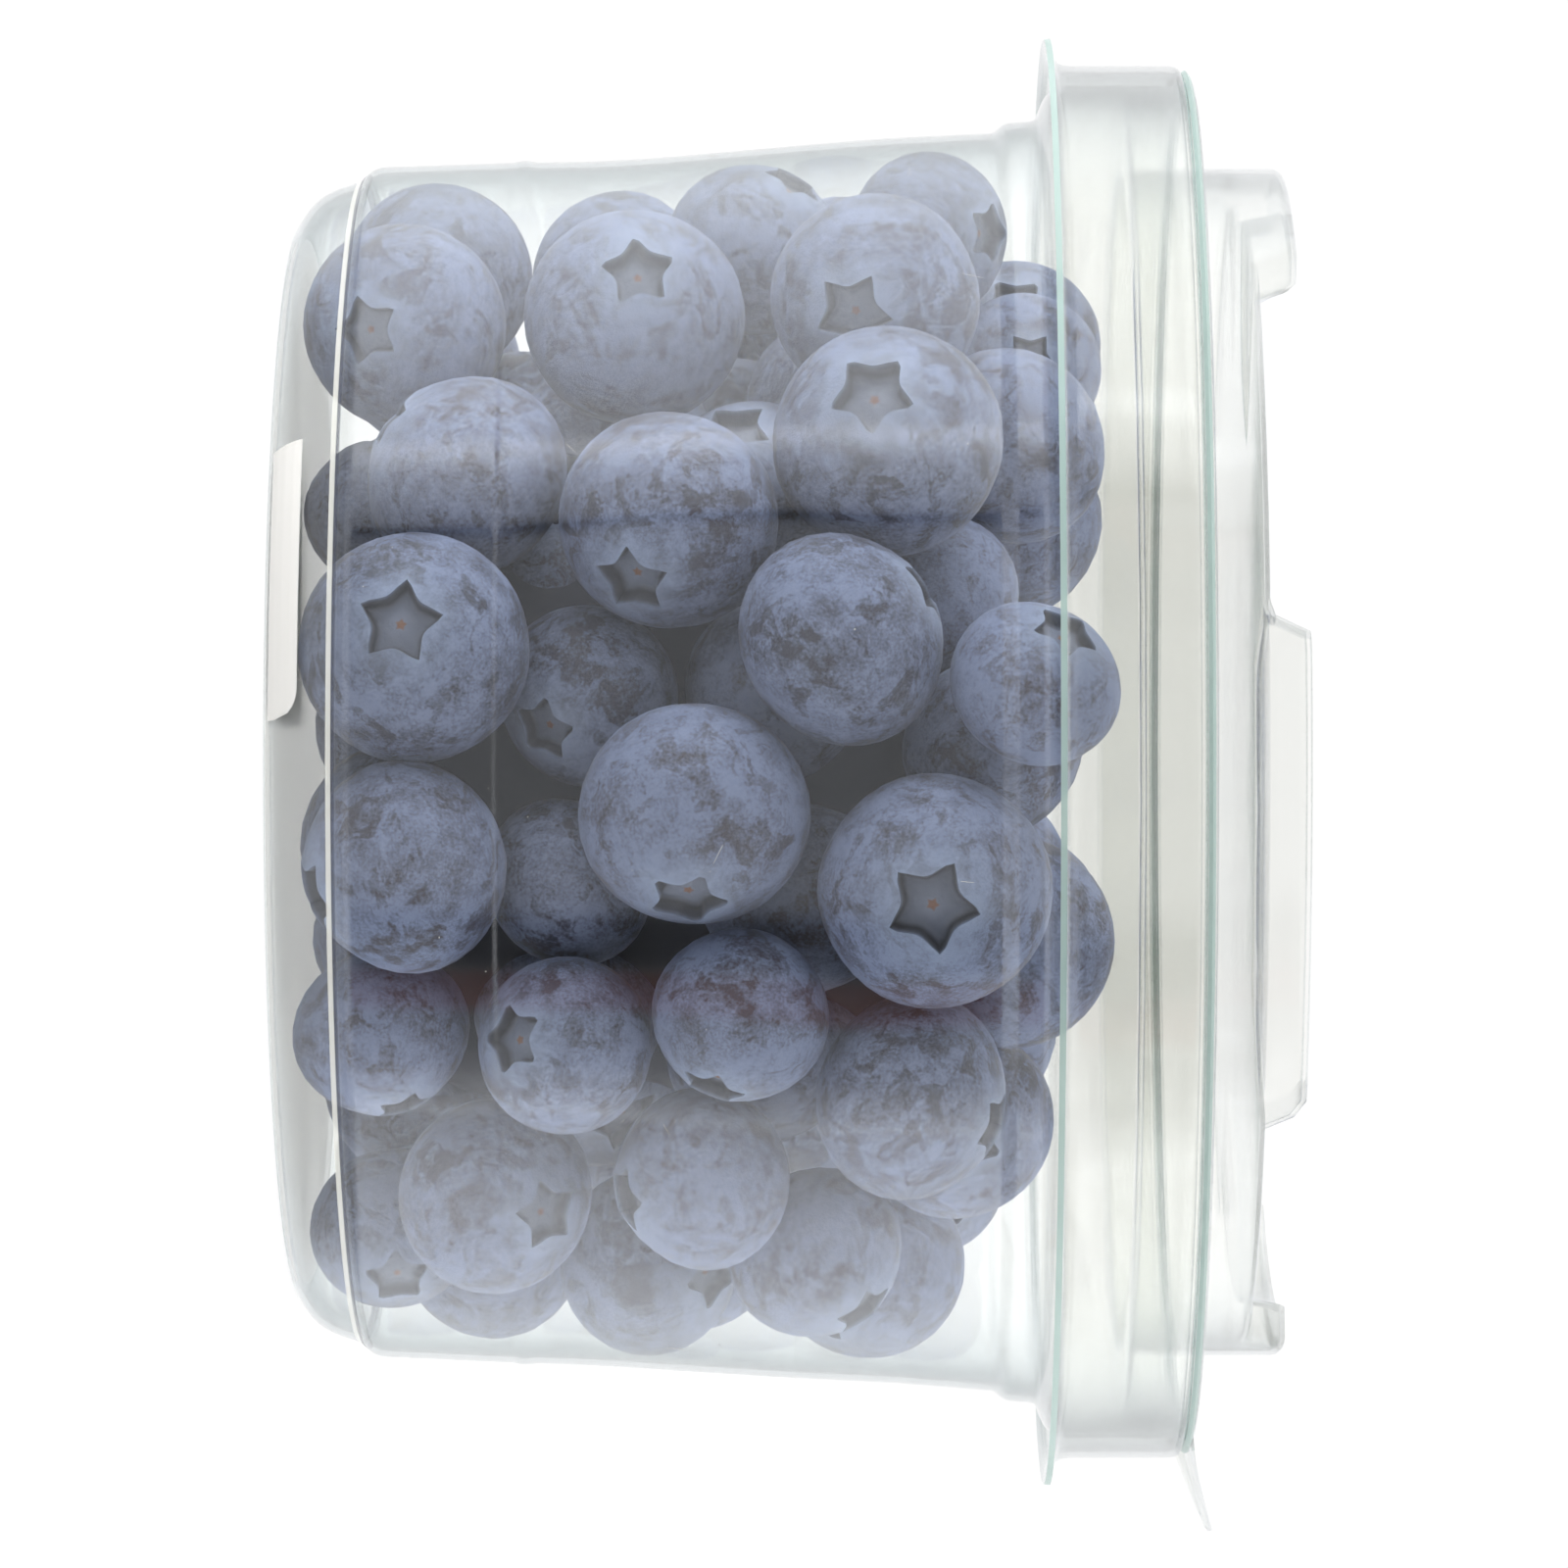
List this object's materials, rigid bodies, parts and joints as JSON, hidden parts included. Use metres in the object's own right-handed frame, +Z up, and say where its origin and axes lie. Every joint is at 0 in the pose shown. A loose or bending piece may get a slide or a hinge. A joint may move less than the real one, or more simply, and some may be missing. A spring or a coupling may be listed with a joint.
{
  "type": "shut clear tub of blueberries",
  "caption": "Round clear plastic tub filled with fresh blueberries, shut by a clear press-on lid with arc stacking lugs and a pull tab, and with a blank label under its base.",
  "frame": {"origin": "on the tub's axis, at the height of the foot ring that it stands on; the base's underside is pushed up 0.25 mm above it", "axes": "+Z up along the tub's axis, -Y towards the side that the picture shows, +X towards the lid's pull tab"},
  "size_m": [0.1241, 0.1206, 0.0815],
  "materials": {
    "tub_plastic": "clear thermoformed plastic sheet, faintly green at its cut edges",
    "lid_plastic": "clear thermoformed plastic sheet",
    "label_paper": "blank white coated paper",
    "berry_skin": "slate-blue fruit skin under a pale waxy bloom"
  },
  "bodies": {
    "root": {"tub": "tub_plastic", "lid": "lid_plastic", "label": "label_paper", "berries": "berry_skin"}
  },
  "joints": []
}
